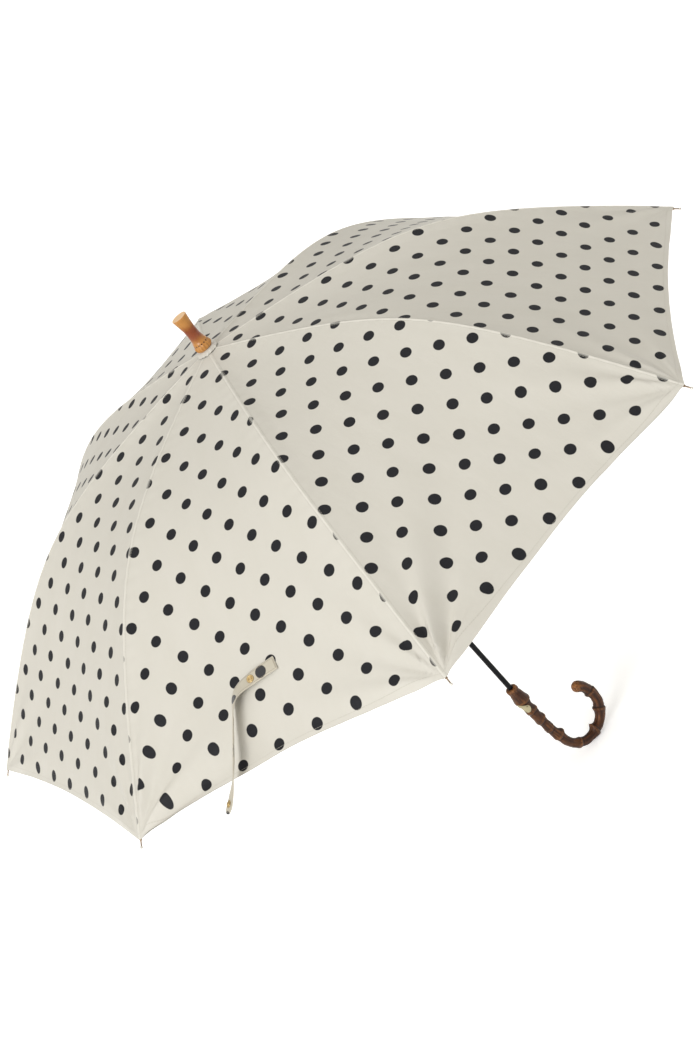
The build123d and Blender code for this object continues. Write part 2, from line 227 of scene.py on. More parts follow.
def weave(n, cloth, under):
    """Bump of a plain weave, warp and weft, over a coarser bump."""
    parts = n.split(cloth)
    warp = n.math("SINE", n.times(parts["X"], 2 * pi * THREADS_PER_METRE))
    weft = n.math("SINE", n.times(parts["Y"], 2 * pi * THREADS_PER_METRE))
    return n.bump(n.times(warp, weft), 0.00005, 0.5, under)


def canopy_cloth(name, print_strength):
    """Woven polyester with a dot print; the inner face shows the print only faintly."""
    n = Nodes(name)
    cloth = n.uv("cloth")
    edges = n.split(n.uv("edges"))
    parts = n.split(cloth)
    tone = n.noise(n.stretch(cloth, (1, 0.25, 1)), 40, 4)
    cream = n.mix(tone, CREAM, CREAM_SHADE)
    ink = n.mix(n.noise(cloth, 300), INK, (0.018, 0.018, 0.021, 1))
    printed = n.mix(n.times(dot_mask(n, cloth), print_strength), cream, ink)
    seam_stitch = stitch_mask(n, edges["X"], parts["Y"], SEAM_STITCH)
    hem_stitch = stitch_mask(n, edges["Y"], parts["X"], HEM_STITCH)
    thread = n.math("MAXIMUM", seam_stitch, hem_stitch)
    # painted highlight: the cloth is drawn paler in a narrow band along the crest of each seam
    painted_seam_highlight = n.ramp(edges["X"], 0.0008, 0.0024, SEAM_HIGHLIGHT, 0.0)
    seam_lit_print = n.mix(painted_seam_highlight, printed, (0.70, 0.675, 0.60, 1))
    # stitches of seams and hem: drawn darker than the cloth, partly thread colour and partly painted
    # shade along the stitch line
    color = n.mix(n.times(thread, 0.55), seam_lit_print, (0.48, 0.455, 0.38, 1))
    creases = n.noise(n.stretch(cloth, (1, 0.35, 1)), 55, 5, 0.6)
    soft = n.bump(creases, 0.0011, 0.5)
    stitched = n.bump(thread, 0.0003, 0.6, soft)
    return n.finish(
        color,
        n.spread(tone, 0.14, 0.42),
        weave(n, cloth, stitched),
        Specular_IOR_Level=0.14,
        Sheen_Weight=0.05,
        Sheen_Roughness=0.4,
    )


def strap_cloth():
    """The same cloth as the canopy, doubled and stitched round its edge."""
    n = Nodes("strap_cloth")
    cloth = n.uv("cloth")
    edges = n.split(n.uv("edges"))
    tone = n.noise(cloth, 60, 4)
    cream = n.mix(tone, (0.52, 0.48, 0.385, 1), (0.45, 0.405, 0.31, 1))
    printed = n.mix(dot_mask(n, cloth), cream, INK)
    thread = stitch_mask(n, edges["X"], edges["Y"], STRAP_STITCH)
    color = n.mix(n.times(thread, 0.7), printed, (0.30, 0.24, 0.15, 1))
    stitched = n.bump(thread, 0.0004, 0.7, n.bump(n.noise(cloth, 120, 4), 0.0006, 0.4))
    rough = n.spread(tone, 0.1, 0.5)
    return n.finish(color, rough, weave(n, cloth, stitched), Sheen_Weight=0.3)


def bamboo_root():
    """Stained bamboo root: long fibres, dark at the knuckles, worn lighter on the swellings."""
    n = Nodes("bamboo_root")
    grain = n.uv("grain")
    marks = n.split(n.uv("marks"))
    fibre = n.noise(n.stretch(grain, (260, 16, 1)), 1.0, 6, 0.6)
    patch = n.noise(n.position(), 70, 4, 0.6)
    fine = n.noise(n.position(), 420, 4, 0.65)
    warm = n.mix(n.ramp(patch, 0.38, 0.62), (0.085, 0.025, 0.005, 1), (0.200, 0.070, 0.016, 1))
    streaked = n.mix(n.ramp(fibre, 0.35, 0.75), (0.026, 0.008, 0.002, 1), warm)
    rubbed = n.times(marks["Y"], n.ramp(fine, 0.35, 0.65))
    worn = n.mix(rubbed, streaked, (0.32, 0.130, 0.038, 1))
    dark = n.mix(n.times(marks["X"], 0.86), worn, (0.016, 0.007, 0.004, 1))
    relief = n.spread(fine, 0.5, fibre)
    return n.finish(
        dark,
        n.spread(fine, 0.25, 0.36),
        n.bump(relief, 0.0007, 0.7),
        Specular_IOR_Level=0.25,
        Coat_Weight=0.06,
        Coat_Roughness=0.2,
    )


SCAR_HEIGHT = 0.0092  # of the ring of root scars above the ferrule's base
SCAR_COUNT = 16


def bamboo_ferrule():
    """Varnished bamboo: amber ends, a scorched red-brown middle and a ring of root scars."""
    n = Nodes("bamboo_ferrule")
    grain = n.uv("grain")
    parts = n.split(grain)
    height = parts["Y"]
    fibre = n.noise(n.stretch(grain, (30, 60, 1)), 1.0, 5, 0.6)
    wobble = n.spread(n.noise(n.position(), 90, 3), 0.010, height)
    above = n.ramp(wobble, 0.034, 0.047, 1.0, 0.0)
    scorch = n.times(n.ramp(wobble, 0.013, 0.028), above)
    amber = n.mix(fibre, (0.40, 0.150, 0.026, 1), (0.64, 0.315, 0.085, 1))
    body = n.mix(scorch, amber, (0.235, 0.045, 0.005, 1))
    face = n.mix(n.ramp(height, 0.0487, 0.0492), body, (0.80, 0.52, 0.27, 1))
    ring = n.math("ABSOLUTE", n.math("SUBTRACT", height, SCAR_HEIGHT))
    turn = n.math("PINGPONG", n.times(parts["X"], SCAR_COUNT), 0.5)
    across = n.times(turn, 0.0038)
    square = n.times(across, across)
    reach = n.math("SQRT", n.spread(ring, ring, square))
    scar = n.ramp(reach, 0.0006, 0.0012, 1.0, 0.0)
    marked = n.mix(n.times(scar, 0.92), face, (0.045, 0.012, 0.004, 1))
    relief = n.math("SUBTRACT", fibre, scar)
    return n.finish(
        marked,
        n.spread(fibre, 0.15, 0.24),
        n.bump(relief, 0.0004, 0.5),
        Specular_IOR_Level=0.35,
        Coat_Weight=0.22,
        Coat_Roughness=0.12,
    )


def enamel(name, color, rough, wear):
    """Stove enamel on steel, with fine orange peel and small scuffs."""
    n = Nodes(name)
    place = n.position()
    scuffs = n.noise(n.stretch(place, (1, 1, 0.15)), 900, 5, 0.7)
    base = n.mix(n.ramp(scuffs, 0.62, 0.74, 0.0, wear), color, (0.10, 0.10, 0.11, 1))
    peel = n.noise(place, 1400, 2)
    return n.finish(
        base,
        n.spread(scuffs, 0.2, rough),
        n.bump(peel, 0.00006, 0.4),
        Specular_IOR_Level=0.12,
    )


def plated(name, color, rough):
    """Plated or polished metal with brushed lines and faint tarnish."""
    n = Nodes(name)
    place = n.position()
    lines = n.noise(n.stretch(place, (1, 1, 12)), 600, 4, 0.6)
    tarnish = n.noise(place, 260, 4, 0.6)
    shade = tuple(0.62 * value for value in color[:3]) + (1,)
    base = n.mix(n.ramp(tarnish, 0.4, 0.75), color, shade)
    return n.finish(
        base,
        n.spread(lines, 0.22, rough),
        n.bump(lines, 0.00005, 0.3),
        Metallic=1.0,
    )


def tip_metal():
    """Tarnished pin with a bright, rubbed ball at its end."""
    n = Nodes("tip_metal")
    along = n.split(n.uv("grain"))["Y"]
    tarnish = n.noise(n.position(), 900, 4, 0.6)
    pin = n.mix(tarnish, (0.20, 0.13, 0.08, 1), (0.34, 0.25, 0.17, 1))
    bright = n.mix(tarnish, (0.75, 0.72, 0.66, 1), (0.55, 0.52, 0.46, 1))
    return n.finish(
        n.mix(n.ramp(along, 0.70, 0.80), pin, bright),
        n.spread(tarnish, 0.2, 0.15),
        n.bump(tarnish, 0.00005, 0.4),
        Metallic=0.9,
    )


def moulded_plastic():
    """Black moulded plastic with a fine spark-eroded grain."""
    n = Nodes("black_plastic")
    grain = n.noise(n.position(), 2600, 3)
    cloudy = n.noise(n.position(), 120, 3)
    tone = n.mix(cloudy, (0.018, 0.018, 0.019, 1), (0.034, 0.034, 0.035, 1))
    rough = n.spread(grain, 0.2, 0.35)
    return n.finish(tone, rough, n.bump(grain, 0.0001, 0.5))


def brushed_brass():
    """Pale brushed brass of the small plate on the handle."""
    n = Nodes("pale_brass")
    place = n.position()
    speckle = n.noise(place, 1500, 5, 0.7)
    patch = n.noise(place, 300, 3)
    pale = n.mix(patch, (0.36, 0.31, 0.18, 1), (0.47, 0.42, 0.27, 1))
    base = n.mix(n.ramp(speckle, 0.55, 0.75, 0.0, 0.5), pale, (0.20, 0.16, 0.08, 1))
    return n.finish(
        base,
        n.spread(speckle, 0.2, 0.32),
        n.bump(speckle, 0.0001, 0.5),
        Metallic=0.55,
    )


def plain_cloth():
    """Canopy cloth without print, for the rosette."""
    n = Nodes("plain_cloth")
    cloth = n.uv("cloth")
    tone = n.noise(cloth, 300, 4)
    creases = n.bump(n.noise(cloth, 700, 4), 0.0004, 0.5)
    cream = n.mix(tone, CREAM, CREAM_SHADE)
    return n.finish(cream, 0.5, weave(n, cloth, creases), Sheen_Weight=0.3)


def floor_material():
    """Pale seamless studio paper."""
    n = Nodes("studio_paper")
    grain = n.noise(n.position(), 240, 3)
    tone = n.mix(grain, (0.955, 0.955, 0.955, 1), (0.94, 0.94, 0.94, 1))
    return n.finish(
        tone,
        0.9,
        n.bump(grain, 0.0001, 0.2),
        Specular_IOR_Level=0.1,
        Emission_Color=(1, 1, 1, 1),
        Emission_Strength=0.36,
    )


materials = {
    "canopy_outer": canopy_cloth("canopy_cloth", 1.0),
    "canopy_inner": canopy_cloth("canopy_cloth_inside", 0.22),
    "strap": strap_cloth(),
    "root": bamboo_root(),
    "ferrule": bamboo_ferrule(),
    "shaft": enamel("shaft_enamel", (0.005, 0.005, 0.006, 1), 0.22, 0.2),
    "ribs": enamel("rib_enamel", (0.016, 0.016, 0.017, 1), 0.34, 0.4),
    "nickel": plated("nickel_plate", (0.62, 0.60, 0.57, 1), 0.18),
    "spring": plated("spring_steel", (0.45, 0.45, 0.46, 1), 0.3),
    "tip": tip_metal(),
    "gold": plated("gold_metal", (0.60, 0.44, 0.21, 1), 0.24),
    "plastic": moulded_plastic(),
    "plate": brushed_brass(),
    "plain": plain_cloth(),
    "nail": plated("nail_metal", (0.10, 0.08, 0.05, 1), 0.4),
    "floor": floor_material(),
}

CAD_FINISH = {
    "shaft": ["shaft"],
    "plastic": ["crown", "runner"],
    "nickel": ["crown_ring", "rib_bracket"],
    "spring": ["top_catch", "bottom_catch"],
    "ribs": ["rib", "rib_outer", "stretcher"],
}


def finish_cad_nodes():
    """Give each carried-over CAD node its procedural material."""
    for name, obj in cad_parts.items():
        stem = name.rstrip("0123456789").rstrip("_")
        for finish, stems in CAD_FINISH.items():
            if stem in stems:
                for slot in obj.material_slots:
                    slot.material = materials[finish]


finish_cad_nodes()


# ---- mesh helpers


def new_object(name, vertices, faces, mats, face_material=None):
    """Mesh object from vertices in metres and faces, with its materials."""
    mesh = bpy.data.meshes.new(name)
    mesh.from_pydata([tuple(v) for v in vertices], [], faces)
    for material in mats:
        mesh.materials.append(material)
    if face_material is not None:
        mesh.polygons.foreach_set("material_index", face_material)
    mesh.polygons.foreach_set("use_smooth", [True] * len(mesh.polygons))
    mesh.update()
    obj = bpy.data.objects.new(name, mesh)
    bpy.context.scene.collection.objects.link(obj)
    return obj


def set_uv(obj, name, per_corner):
    """UV map from one (u, v) for each face corner."""
    layer = obj.data.uv_layers.new(name=name)
    layer.data.foreach_set("uv", np.array(per_corner, float).ravel())


def add_piece(obj, body, nodes):
    """Ride on a body and stand for CAD nodes."""
    if nodes:
        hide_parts(*nodes)
    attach(obj, body)


def closed_tube(name, rings, mats, uv_maps, looped=False):
    """Mesh through rings of points; a tube that isn't looped has a centre point on each end."""
    count = len(rings[0])
    total = len(rings)
    vertices = [p for ring in rings for p in ring]
    faces, cells = [], []
    for i in range(total if looped else total - 1):
        n = (i + 1) % total
        for j in range(count):
            k = (j + 1) % count
            faces.append((i * count + j, n * count + j, n * count + k, i * count + k))
            cells.append(((i, j), (n, j), (n, j + 1), (i, j + 1)))
    for row in () if looped else (0, total - 1):
        hub = len(vertices)
        vertices.append(sum(rings[row], Vector()) / count)
        for j in range(count):
            a, b = row * count + j, row * count + (j + 1) % count
            faces.append((hub, a, b) if row == 0 else (hub, b, a))
            first, last = (j, j + 1) if row == 0 else (j + 1, j)
            cells.append(((row, j), (row, first), (row, last)))
    obj = new_object(name, vertices, faces, mats)
    for uv_name, value in uv_maps.items():
        set_uv(obj, uv_name, [value(i, j) for cell in cells for i, j in cell])
    bm = bmesh.new()
    bm.from_mesh(obj.data)
    bmesh.ops.recalc_face_normals(bm, faces=bm.faces)
    bm.to_mesh(obj.data)
    bm.free()
    return obj


def turns(count):
    """Equally spaced angles round a circle."""
    return [2 * pi * j / count for j in range(count)]


def curve_at(values, t):
    """Catmull-Rom value at t from 0 to 1 through equally spaced vectors."""
    place = min(max(t, 0), 1) * (len(values) - 1)
    i = min(int(place), len(values) - 2)
    f = place - i
    b, c = values[i], values[i + 1]
    a = values[i - 1] if i > 0 else 2 * b - c
    d = values[i + 2] if i + 2 < len(values) else 2 * c - b
    bend = (2 * a - 5 * b + 4 * c - d) * f * f + (3 * b - a - 3 * c + d) * f ** 3
    return 0.5 * (2 * b + (c - a) * f + bend)


def disc_rings(base, axis, profile, count):
    """Rings of a turned shape from (radius, height) pairs in mm."""
    side = axis.orthogonal().normalized()
    up = axis.cross(side)
    spokes = [side * cos(turn) + up * sin(turn) for turn in turns(count)]
    return [[base + axis * (h * MM) + spoke * (r * MM) for spoke in spokes] for r, h in profile]


# ---- canopy surface

DOME_SLOPE = 0.083
DOME_BEND = 0.438
BEND_AT = 0.581
BEND_WIDTH = 0.222
PANEL_SAG = 0.011
HEM_RISE = 0.017
INNER_EDGE = 0.0085 / SPREAD
FLEX_X = 0.2725  # where a rib bends at its bracket, from the shaft's axis
FLEX_LAP = 0.014  # how far the inner cloth runs on under the outer cloth
REST_DEPTH = 0.0013  # cloth's middle below the CAD canopy's outer face
CLOTH = 0.0003
HEM_WIDTH = 0.0075
SEAM_RIDGE = 0.0006  # the folded seam over each rib
PULL_HEIGHT = 0.0018
PULL_REACH = 0.115
PUCKER_PITCH = 0.017
LAP_ROWS = 4
LAP_DROP = 0.0007  # how far the lapped rows are sunk
NARROWEST = 0.03  # share of the spread below which the columns keep their spacing
NEAR_RIB = (0.0, 0.0006, 0.0013, 0.0021, 0.0032, 0.0048, 0.0072, 0.0105, 0.015)
MIDDLE_COLUMNS = 26

# Pulls in the cloth at the low corners of the panels: panel, side, strength, phase
CORNER_PULLS = {
    (2, 1): (3.6, 0.3),
    (2, -1): (1.6, 1.2),
    (3, -1): (1.8, 0.7),
    (3, 1): (2.8, 2.0),
    (4, -1): (1.9, 0.2),
    (1, 1): (1.2, 1.5),
}
DEFAULT_PULL = (1.0, 0.9)
# Print moved across and along a panel, in mm
PRINT_SHIFT = {1: (2.4, -0.3), 2: (3.0, 0.3), 3: (1.0, 2.7), 4: (-4.4, 0.8)}


def dome_drop(x):
    """Depth below the apex at a rib, for a radius given as a share of the spread."""
    bend = x + hypot(x - BEND_AT, BEND_WIDTH) - hypot(BEND_AT, BEND_WIDTH)
    return SPREAD * (DOME_SLOPE * x + DOME_BEND * bend)


def dome_gradient(x):
    """Fall per unit of radius."""
    return DOME_SLOPE + DOME_BEND * (1 + (x - BEND_AT) / hypot(x - BEND_AT, BEND_WIDTH))


def hem_share(psi):
    """Where the hem lies, as a share of the spread, for psi from -1 at a rib to 1 at the next."""
    return 1 - HEM_RISE * (1 - psi * psi)


def arc_table():
    """Length along the middle of a panel from the apex, against the share of the spread."""
    shares = np.linspace(0, 1.02, 512)
    drops = np.array([dome_drop(x) for x in shares])
    steps = np.hypot(np.diff(shares) * SPREAD * cos(HALF_STEP), np.diff(drops))
    return shares, np.concatenate(([0], np.cumsum(steps)))


ARC_SHARES, ARC_LENGTHS = arc_table()


def cloth_uv(psi, x):
    """Place in the flat panel: across from its middle line, and along it from the apex."""
    return (psi * SPREAD * x * sin(HALF_STEP), float(np.interp(x, ARC_SHARES, ARC_LENGTHS)))


def wrinkle(panel, psi, x):
    """Height of the folds in a panel, square to the cloth."""
    half_width = SPREAD * x * sin(HALF_STEP)
    u, v = cloth_uv(psi, x)
    tip_u, tip_v = cloth_uv(1, 1)
    from_rib = (1 - abs(psi)) * half_width
    fade = smooth(0, 0.02, from_rib)
    height = 0.0
    for side in (-1, 1):
        strength, phase = CORNER_PULLS.get((panel, side), DEFAULT_PULL)
        du = tip_u - side * u
        dv = tip_v - v
        reach = hypot(du, dv)
        angle = atan2(du, dv)
        envelope = exp(-reach / PULL_REACH) * (1 - exp(-((reach / 0.030) ** 2)))
        folds = sin(11 * angle + phase) + 0.45 * sin(19 * angle + 2.1 * phase)
        height += PULL_HEIGHT * strength * envelope * folds * smooth(0, 0.012, from_rib)
    pucker = exp(-from_rib / 0.009) * (1 - exp(-from_rib / 0.002))
    height += 0.0005 * pucker * sin(2 * pi * v / PUCKER_PITCH + panel)
    height += SEAM_RIDGE * exp(-((from_rib / 0.0019) ** 2))
    height += 0.0022 * fade * noise.noise(Vector((u * 9, v * 5, panel * 3.7)))
    height += 0.0004 * fade * noise.noise(Vector((u * 40, v * 14, panel * 1.9)))
    return height * smooth(0.02, 0.12, x)


def cloth_point(panel, psi, x):
    """Middle of the cloth, with its sag and folds."""
    middle = rib_azimuth(panel) - HALF_STEP
    out = SPREAD * x * cos(HALF_STEP)
    across = psi * SPREAD * x * sin(HALF_STEP)
    sag = PANEL_SAG * SPREAD * sin(pi * min(x, 1)) * (1 - psi * psi)
    gradient = dome_gradient(x)
    tip_pull = 0.001 * exp(-(((1 - abs(psi)) ** 2 + (1 - x) ** 2) / 0.0009))
    depth = sag + REST_DEPTH + tip_pull - wrinkle(panel, psi, x)
    z = APEX_Z - dome_drop(x) - depth * sqrt(1 + gradient * gradient)
    turned = (out * cos(middle) + across * sin(middle), out * sin(middle) - across * cos(middle))
    return Vector((*turned, z))


def cloth_normal(panel, psi, x):
    """Outward normal of the cloth; on a rib, the mean of its two panels' normals."""
    normal = panel_normal(panel, psi, x)
    if abs(psi) == 1:
        twin = panel % RIB_COUNT + 1 if psi > 0 else (panel - 2) % RIB_COUNT + 1
        normal = (normal + panel_normal(twin, -psi, x)).normalized()
    return normal


def panel_normal(panel, psi, x):
    """Outward normal within one panel, by small steps."""
    step = 0.002
    side = -1 if psi > 0 else 1
    along = cloth_point(panel, psi, x + step) - cloth_point(panel, psi, x - step)
    across = (cloth_point(panel, psi + side * step / x, x) - cloth_point(panel, psi, x)) * side
    normal = across.cross(along).normalized()
    return normal if normal.z > 0 else -normal


def columns(x):
    """psi of the grid's columns across half a panel at a radius, from the rib to the middle."""
    half_width = SPREAD * x * sin(HALF_STEP)
    squeeze = min(1, half_width / 0.05)
    near = [distance * squeeze for distance in NEAR_RIB]
    steps = [(i / MIDDLE_COLUMNS) ** 1.4 for i in range(1, MIDDLE_COLUMNS + 1)]
    rest = [near[-1] + (half_width - near[-1]) * step for step in steps]
    return [1 - distance / half_width for distance in near + rest]


def print_uv(panel, psi, x):
    """Place on the printed cloth, which each panel was cut from a little differently."""
    u, v = cloth_uv(psi, x)
    shift = PRINT_SHIFT.get(panel, (0, 0))
    return u - shift[0] * MM, v - shift[1] * MM


def split_share(psi_size):
    """Share of the spread where a straight line across the rib at its bend crosses the cloth."""
    return FLEX_X / (SPREAD * (cos(HALF_STEP) ** 2 + psi_size * sin(HALF_STEP) ** 2))


def gore_rows(inner):
    """Steps from 0 to 1 along a gore, closer together near its low edge."""
    count = 56 if inner else 74
    steps = [i / count for i in range(count + 1)]
    if inner:
        return steps
    return [1 - (1 - s) * (1 - 0.35 * s) for s in steps]


def to_hem(psi, x):
    """Distance along the cloth to the hem."""
    return (hem_share(psi) - x) * SPREAD * sqrt(1 + dome_gradient(x) ** 2)


def gore_station(inner, rows, row, psi_size):
    """Share of the spread at a row, and how far the row is tucked under the outer cloth."""
    bend = split_share(psi_size)
    if row >= len(rows):
        lap = (row - len(rows) + 1) / LAP_ROWS
        return bend + lap * FLEX_LAP / SPREAD, LAP_DROP * min(1, lap * 2)
    low, high = (INNER_EDGE, bend) if inner else (bend, hem_share(psi_size))
    return low + (high - low) * rows[row], 0.0


def gore_layers(k, inner):
    """Rows of (top point, bottom point, normal, place in its panel) across the cloth on rib k."""
    rows = gore_rows(inner)
    before = k - 1 or RIB_COUNT
    layers = []
    for row in range(len(rows) + (LAP_ROWS if inner else 0)):
        reference = gore_station(inner, rows, min(row, len(rows) - 1), 1)[0]
        shares = columns(max(reference, NARROWEST))
        line = [(before, share) for share in shares[:0:-1]] + [(k, -share) for share in shares]
        cells = []
        for panel, psi in line:
            x, sunk = gore_station(inner, rows, row, abs(psi))
            middle = cloth_point(panel, psi, x)
            normal = cloth_normal(panel, psi, x)
            hem = 1 - smooth(HEM_WIDTH - 0.0006, HEM_WIDTH, to_hem(psi, x))
            half = CLOTH / 2 + 0.0003 * hem
            top = middle + normal * (half - sunk)
            cells.append((top, middle - normal * (half + sunk), normal, (psi, x)))
        layers.append(cells)
    return layers


def gore_object(k, inner):
    """Closed cloth mesh of the inner or outer part of a gore, with smooth normals."""
    layers = gore_layers(k, inner)
    rows, width = len(layers), len(layers[0])
    rib_column = width // 2
    cells = [cell for line in layers for cell in line]
    under = len(cells)
    vertices = [cell[0] for cell in cells] + [cell[1] for cell in cells]
    normals = [cell[2] for cell in cells] + [-cell[2] for cell in cells]
    faces, mats, cloth_uvs, edge_uvs = [], [], [], []

    def add_face(places, offsets, material):
        before_rib = min(column for _, column in places) < rib_column
        faces.append(tuple(offset + r * width + c for (r, c), offset in zip(places, offsets)))
        mats.append(material)
        for r, c in places:
            psi, x = layers[r][c][3]
            psi = abs(psi) if before_rib else -abs(psi)
            panel = (k - 1 or RIB_COUNT) if before_rib else k
            cloth_uvs.append(print_uv(panel, psi, x))
            edge_uvs.append(((1 - abs(psi)) * SPREAD * x * sin(HALF_STEP), to_hem(psi, x)))

    for r in range(rows - 1):
        for c in range(width - 1):
            places = ((r, c), (r, c + 1), (r + 1, c + 1), (r + 1, c))
            add_face(places, (0,) * 4, 0)
            add_face((places[0], *places[:0:-1]), (under,) * 4, 1)
    rim = [(0, c) for c in range(width)] + [(r, width - 1) for r in range(1, rows)]
    rim += [(rows - 1, c) for c in range(width - 2, -1, -1)]
    rim += [(r, 0) for r in range(rows - 2, 0, -1)]
    for a, b in zip(rim, rim[1:] + rim[:1]):
        add_face((b, a, a, b), (0, 0, under, under), 0)
    name = f"gore_{'inner' if inner else 'outer'}_{k}"
    sides = [materials["canopy_outer"], materials["canopy_inner"]]
    obj = new_object(name, vertices, faces, sides, mats)
    set_uv(obj, "cloth", cloth_uvs)
    set_uv(obj, "edges", edge_uvs)
    obj.data.normals_split_custom_set_from_vertices(normals)
    return obj


def fold_with_gore(piece):
    """Give a piece its own copy of its mesh."""
    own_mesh(piece)


def build_canopy():
    """All gores: each in two pieces, one on the inner rib and one on the outer rib."""
    order = [(k, inner) for k in range(1, RIB_COUNT + 1) for inner in (True, False)]
    for k, inner in order:
        obj = gore_object(k, inner)
        rib = f"rib_{k}" if inner else f"rib_outer_{k}"
        add_piece(obj, rib, [] if inner else [f"canopy_gore_{k}"])
        fold_with_gore(obj)


build_canopy()


# ---- handle

RIM_RADIUS = 0.0075
STEM = 0.0069
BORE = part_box("shaft")[1][0]
CROOK_LINE = [  # middle of the handle from the rim to the end, in mm
    (0, 0), (0.8, -20), (0.9, -40), (1.8, -58), (3.4, -78), (6.0, -100), (10.5, -119),
    (19, -133), (32, -141), (46, -142.5), (59, -139.5), (70, -131), (77.5, -119),
    (80, -106), (78.5, -93), (73, -81), (64, -73.5),
]
# Bamboo root's nodes: distance along the handle, swelling, one-sided bump and its angle
NODES = [
    (0.0255, 0.0012, 0.0010, 20),
    (0.0465, 0.0009, 0.0014, 20),
    (0.0660, 0.0011, 0.0012, 0),
    (0.0840, 0.0007, 0.0008, 150),
    (0.1020, 0.0010, 0.0030, 8),
    (0.1400, 0.0008, 0.0016, -60),
    (0.1700, 0.0013, 0.0048, 0),
    (0.2010, 0.0010, 0.0032, 5),
    (0.2300, 0.0008, 0.0022, 0),
]
RING_STEP = 0.0009
RING_POINTS = 56
END_ROUND = 0.0068  # length of the handle's rounded end


def smooth_path(points, step):
    """Catmull-Rom curve through points in the XZ plane, at equal steps along it."""
    raw = [Vector((x * MM, 0, z * MM)) for x, z in points]
    pieces = 24 * (len(raw) - 1)
    fine = [curve_at(raw, i / pieces) for i in range(pieces + 1)]
    lengths = [0.0]
    for a, b in zip(fine, fine[1:]):
        lengths.append(lengths[-1] + (b - a).length)
    count = round(lengths[-1] / step)
    grid = np.linspace(0, lengths[-1], count + 1)
    xs = np.interp(grid, lengths, [p.x for p in fine])
    zs = np.interp(grid, lengths, [p.z for p in fine])
    return [Vector((x, 0, z)) for x, z in zip(xs, zs)], grid


class Handle:
    """Bamboo-root crook as a radius for each distance along it and angle round it."""

    def __init__(self):
        self.points, self.lengths = smooth_path(CROOK_LINE, RING_STEP)
        self.length = self.lengths[-1]

    def frame_at(self, distance):
        """Point on the middle line, its direction, and the direction towards the crook's inside."""
        place = min(max(distance / self.length, 0), 1) * (len(self.points) - 1)
        low = min(int(place), len(self.points) - 2)
        point = self.points[low].lerp(self.points[low + 1], place - low)
        before = self.points[max(low - 3, 0)]
        after = self.points[min(low + 4, len(self.points) - 1)]
        tangent = (after - before).normalized()
        inside = tangent.cross(Vector((0, 1, 0))).normalized()
        return point, tangent, inside

    def radius(self, distance, angle):
        """Distance from the middle line to the surface."""
        bulb = 0.0021 * exp(-(((distance - 0.021) / 0.011) ** 2))
        rim = 0.0005 * exp(-(((distance - 0.004) / 0.002) ** 2))
        neck = 0.0006 * exp(-(((distance - 0.0085) / 0.002) ** 2))
        size = STEM + (RIM_RADIUS - STEM) * (1 - smooth(0, 0.03, distance)) + bulb + rim - neck
        # a little slimmer along the straight stem
        size -= 0.0006 * smooth(0.05, 0.075, distance) * (1 - smooth(0.16, 0.2, distance))
        for where, swell, bump, turn in NODES:
            gap = distance - where + 0.0012 * sin(angle + where * 400)
            profile = exp(-((gap / (0.0062 if gap < 0 else 0.0024)) ** 2))
            lean = max(0, cos(angle - radians(turn))) ** 2.5
            wide = exp(-((gap / 0.0052) ** 2))
            size += swell * profile + bump * lean * wide
            size -= 0.0007 * exp(-(((gap - 0.0026) / 0.0011) ** 2))
        point, out = self.ray(distance, angle)
        place = point + out * STEM
        size += 0.0005 * noise.noise(place * 140) + 0.00018 * noise.noise(place * 420)
        size += 0.00010 * sin(angle * 11 + 3 * noise.noise(place * 60))
        end = self.length - distance
        return size + 0.0009 * exp(-(((end - 0.008) / 0.006) ** 2))

    def ray(self, distance, angle):
        """Point on the middle line, and the direction out from it at an angle."""
        point, tangent, inside = self.frame_at(distance)
        return point, inside * cos(angle) + tangent.cross(inside) * sin(angle)

    def surface(self, distance, angle):
        """Point on the handle's skin."""
        point, out = self.ray(distance, angle)
        return point + out * self.radius(distance, angle)

    def marks(self, distance, angle):
        """How dark and how worn the skin is."""
        dark, worn = 0.0, 0.0
        for i, (where, _, bump, turn) in enumerate(NODES):
            gap = distance - where + 0.0012 * sin(angle + where * 400)
            groove = exp(-(((gap - 0.0024) / 0.0012) ** 2))
            shade = 0.45 * exp(-((gap / 0.006) ** 2)) * (0.5 + 0.5 * sin(2 * angle + 1.7 * i))
            dark = max(dark, groove, shade)
            worn = max(worn, 0.6 * exp(-(((gap + 0.001) / 0.0016) ** 2)))
            for j in range(7):
                spot = 2 * pi * (j + 0.37 * i) / 7
                turn_gap = (angle - spot + pi) % (2 * pi) - pi
                away = hypot(turn_gap * RIM_RADIUS, gap + 0.0022)
                scar = exp(-((away / 0.0009) ** 2))
                dark = max(dark, 0.7 * scar * (1 if (i + j) % 2 else 0.4))
        end = self.length - distance
        worn = max(worn, 1 - smooth(0.002, 0.010, end))
        worn = max(worn, 0.8 * (1 - smooth(0.0, 0.006, distance)))
        return min(dark, 1), min(worn, 1)


handle_form = Handle()


def build_handle():
    """The crook, its rim with the shaft's bore, and its rounded end."""
    form = handle_form
    straight = form.length - END_ROUND
    rings, facts = [], []
    for depth, radius in ((0.006, BORE), (0.0008, BORE), (0.0003, BORE + 0.0005)):
        ring = [Vector((radius * cos(a), -radius * sin(a), -depth)) for a in turns(RING_POINTS)]
        rings.append(ring)
        facts.append(0.0)
    stations = [(0.0, 0.80), (0.0001, 0.93), (0.0007, 1.0)]
    stations += [(s, 1.0) for s in form.lengths[2:] if s <= straight]
    for i in range(1, 15):
        angle = pi / 2 * i / 14.5
        stations.append((straight + END_ROUND * sin(angle), cos(angle) ** 0.62))
    for distance, share in stations:
        middle = form.frame_at(distance)[0]
        skin = [form.surface(distance, angle) for angle in turns(RING_POINTS)]
        rings.append([middle + (point - middle) * share for point in skin])
        facts.append(distance)
    return closed_tube(
        "handle_root",
        rings,
        [materials["root"]],
        {
            "grain": lambda i, j: (j / RING_POINTS * 0.045, facts[i]),
            "marks": lambda i, j: form.marks(facts[i], 2 * pi * j / RING_POINTS),
        },
    )


add_piece(build_handle(), "stick", ["handle"])


